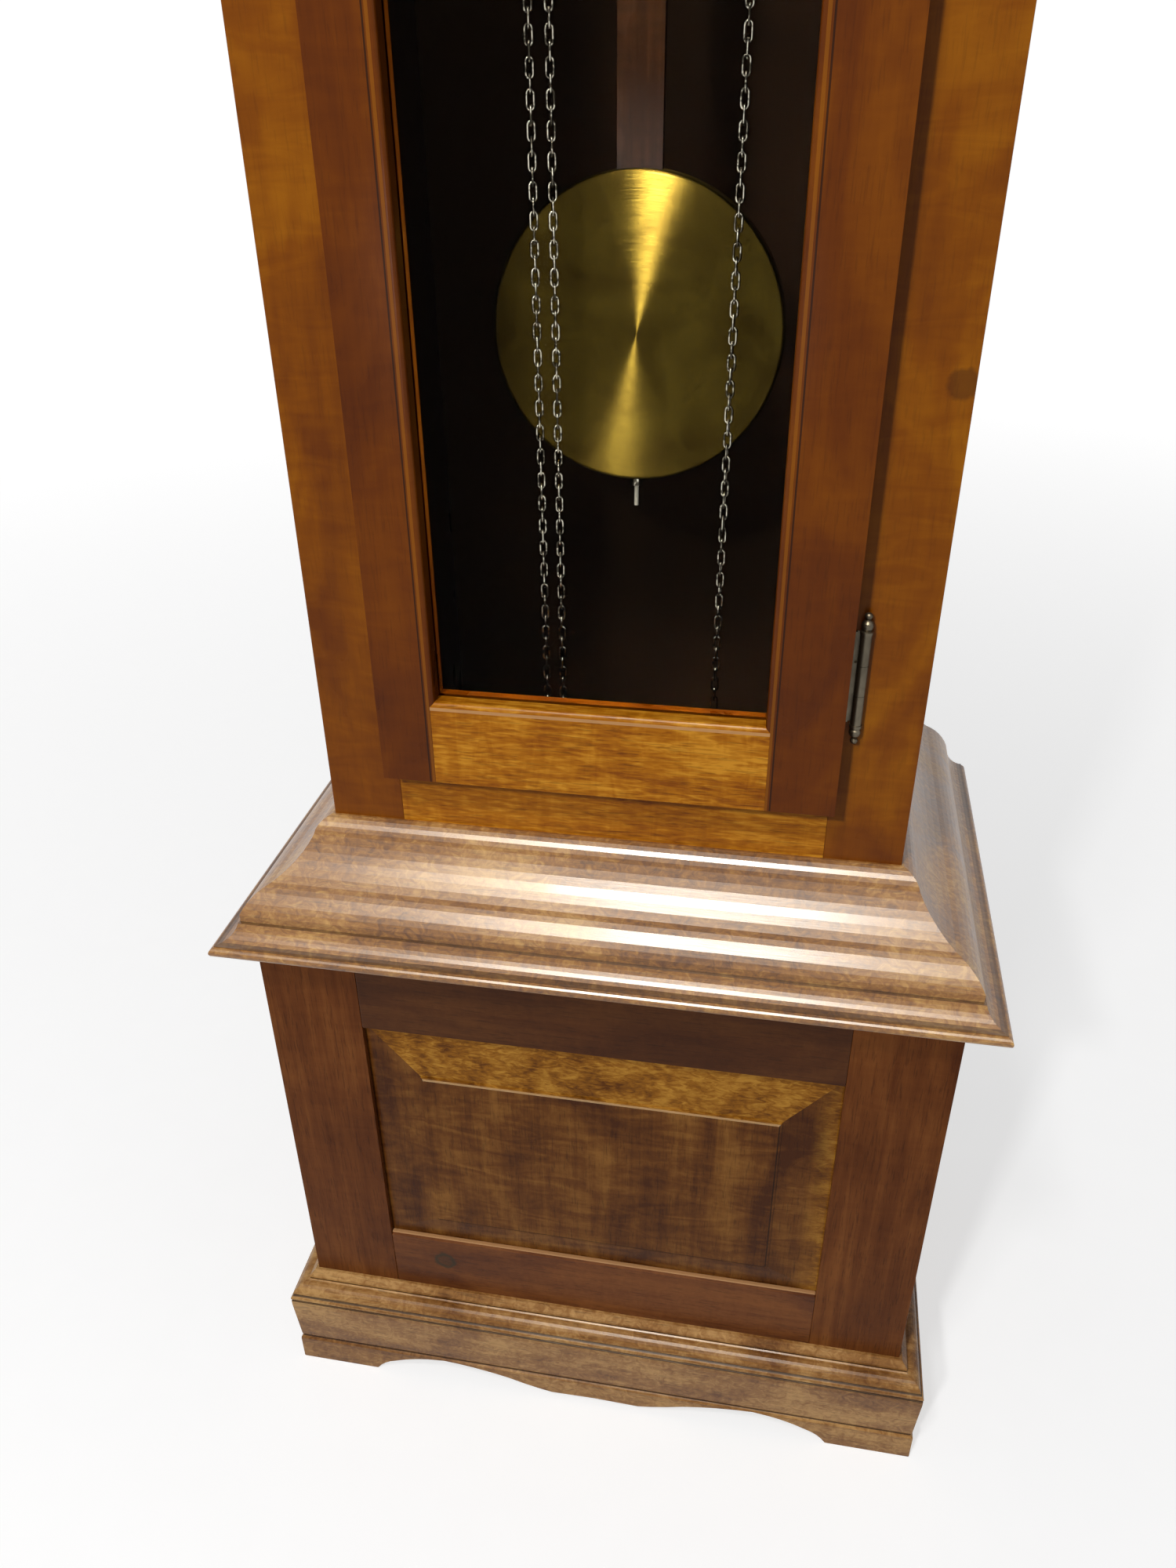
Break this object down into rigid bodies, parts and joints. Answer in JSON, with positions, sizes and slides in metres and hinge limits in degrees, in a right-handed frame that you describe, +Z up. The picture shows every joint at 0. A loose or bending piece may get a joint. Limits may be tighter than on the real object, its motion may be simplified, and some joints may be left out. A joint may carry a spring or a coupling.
{
  "type": "longcase clock",
  "caption": "Weight-driven longcase clock with a glazed trunk door, panelled base, moulded waist, seconds pendulum and chain-hung weights behind hinged doors.",
  "frame": {"origin": "centre of the footprint on the floor, under the middle of the bounding box", "axes": "+Z up, +X to the right seen from the front, the front with the doors and dial faces -Y"},
  "size_m": [0.5188, 0.3339, 2.04],
  "materials": {
    "base_wood": "satin varnish",
    "plinth_wood": "satin varnish",
    "panel_wood": "gloss varnish",
    "trunk_wood": "satin varnish",
    "door_wood": "satin varnish",
    "rail_wood": "satin varnish",
    "inner_wood": "plain",
    "stick_wood": "satin varnish",
    "glass": "clear",
    "hinge_metal": "aged, dark",
    "brass": "polished",
    "dial_metal": "matt",
    "silvered": "matt silvered",
    "blue_steel": "blued",
    "steel": "polished"
  },
  "bodies": {
    "case": {"plinth_boards": "plinth_wood", "plinth_mouldings": "plinth_wood", "glue_blocks": "inner_wood", "base_stiles": "base_wood", "base_rails": "base_wood", "base_panel": "panel_wood", "base_sides": "base_wood", "base_floor": "inner_wood", "back_boards": "inner_wood", "waist_mouldings": "plinth_wood", "trunk_stiles": "trunk_wood", "trunk_rails": "trunk_wood", "trunk_sides": "trunk_wood", "neck_mouldings": "plinth_wood", "hood_sole": "plinth_wood", "hood_sides": "trunk_wood", "hood_frame": "trunk_wood", "hood_top": "trunk_wood", "hood_cornice": "plinth_wood", "seat_board": "inner_wood", "door_catches": "steel", "case_leaves": "hinge_metal", "hinge_pins": "hinge_metal", "dial_plate": "dial_metal", "chapter_ring": "silvered", "movement_frame": "brass", "chains": "brass", "chime_rods": "steel"},
    "trunk_door": {"trunk_door_stiles": "door_wood", "trunk_door_rails": "rail_wood", "trunk_door_glass": "glass", "trunk_door_beads": "door_wood", "trunk_door_leaves": "hinge_metal", "trunk_door_knob": "brass"},
    "hood_door": {"hood_door_frame": "door_wood", "hood_door_glass": "glass", "hood_door_leaves": "hinge_metal", "hood_door_knob": "brass"},
    "minute_train": {"centre_arbor": "brass", "minute_hand": "blue_steel"},
    "hour_train": {"hour_wheel": "brass", "hour_hand": "blue_steel"},
    "motion_wheel": {"minute_wheel": "brass"},
    "going_train": {"going_wheel": "brass"},
    "third_train": {"third_wheel": "brass"},
    "escape_train": {"escape_wheel": "brass"},
    "escape_anchor": {"anchor": "steel"},
    "strike_train": {"strike_wheel": "brass"},
    "chime_train": {"chime_wheel": "brass"},
    "pendulum": {"suspension_spring": "steel", "pendulum_stick": "stick_wood", "pendulum_bob": "brass"},
    "nut": {"rating_nut": "brass"},
    "strike_load": {"strike_chain": "brass", "strike_weight": "brass"},
    "going_load": {"going_chain": "brass", "going_weight": "brass"},
    "chime_load": {"chime_chain": "brass", "chime_weight": "brass"},
    "hammer": {"strike_hammer": "steel"}
  },
  "joints": [
    {"name": "trunk_door_swing", "type": "hinge", "parent": "case", "child": "trunk_door", "pos_m": [0.1485, -0.0989, 0.9985], "axis": [0, 0, 1], "range_deg": [0, 110]},
    {"name": "hood_door_swing", "type": "hinge", "parent": "case", "child": "hood_door", "pos_m": [0.1865, -0.1269, 1.745], "axis": [0, 0, 1], "range_deg": [0, 110]},
    {"name": "pendulum_swing", "type": "hinge", "parent": "case", "child": "pendulum", "pos_m": [0, 0.02, 1.81], "axis": [0, 1, 0], "range_deg": [-2.5, 2.5]},
    {"name": "anchor_rock", "type": "hinge", "parent": "case", "child": "escape_anchor", "pos_m": [0, 0.005, 1.81], "axis": [0, 1, 0], "range_deg": [-2.5, 2.5]},
    {"name": "rating_nut_turn", "type": "hinge", "parent": "pendulum", "child": "nut", "pos_m": [0, 0.02, 0.7257], "axis": [0, 0, 1], "continuous": true},
    {"name": "minute_hand_turn", "type": "hinge", "parent": "case", "child": "minute_train", "pos_m": [0, -0.035, 1.745], "axis": [0, 1, 0], "continuous": true},
    {"name": "hour_hand_turn", "type": "hinge", "parent": "case", "child": "hour_train", "pos_m": [0, -0.035, 1.745], "axis": [0, 1, 0], "continuous": true},
    {"name": "motion_wheel_turn", "type": "hinge", "parent": "case", "child": "motion_wheel", "pos_m": [-0.01697, -0.035, 1.72803], "axis": [0, 1, 0], "continuous": true},
    {"name": "going_wheel_turn", "type": "hinge", "parent": "case", "child": "going_train", "pos_m": [-0.01889, -0.035, 1.72017], "axis": [0, 1, 0], "continuous": true},
    {"name": "third_wheel_turn", "type": "hinge", "parent": "case", "child": "third_train", "pos_m": [0.0104, -0.035, 1.76795], "axis": [0, 1, 0], "continuous": true},
    {"name": "escape_wheel_turn", "type": "hinge", "parent": "case", "child": "escape_train", "pos_m": [0, -0.035, 1.7855], "axis": [0, 1, 0], "continuous": true},
    {"name": "strike_wheel_turn", "type": "hinge", "parent": "case", "child": "strike_train", "pos_m": [-0.07611, -0.035, 1.72017], "axis": [0, 1, 0], "continuous": true},
    {"name": "chime_wheel_turn", "type": "hinge", "parent": "case", "child": "chime_train", "pos_m": [0.08311, -0.035, 1.72017], "axis": [0, 1, 0], "continuous": true},
    {"name": "hammer_lift", "type": "hinge", "parent": "case", "child": "hammer", "pos_m": [-0.05, 0.035, 1.67], "axis": [-1, 0, 0], "range_deg": [0, 20], "stiffness_Nm_per_rad": 0.1, "springref_deg": -11.46},
    {"name": "strike_weight_drop", "type": "slide", "parent": "case", "child": "strike_load", "axis": [0, 0, -1], "range_m": [0, 1.1], "deforming": ["strike_chain"]},
    {"name": "going_weight_drop", "type": "slide", "parent": "case", "child": "going_load", "axis": [0, 0, -1], "range_m": [0, 1.1], "deforming": ["going_chain"]},
    {"name": "chime_weight_drop", "type": "slide", "parent": "case", "child": "chime_load", "axis": [0, 0, -1], "range_m": [0, 1.1], "deforming": ["chime_chain"]}
  ],
  "couplings": [
    {"joint": "anchor_rock", "follows": "pendulum_swing", "ratio": 1},
    {"joint": "hour_hand_turn", "follows": "minute_hand_turn", "ratio": 0.083333},
    {"joint": "motion_wheel_turn", "follows": "minute_hand_turn", "ratio": -0.33333},
    {"joint": "going_wheel_turn", "follows": "minute_hand_turn", "ratio": -0.083333},
    {"joint": "third_wheel_turn", "follows": "minute_hand_turn", "ratio": -8},
    {"joint": "escape_wheel_turn", "follows": "minute_hand_turn", "ratio": 60}
  ]
}
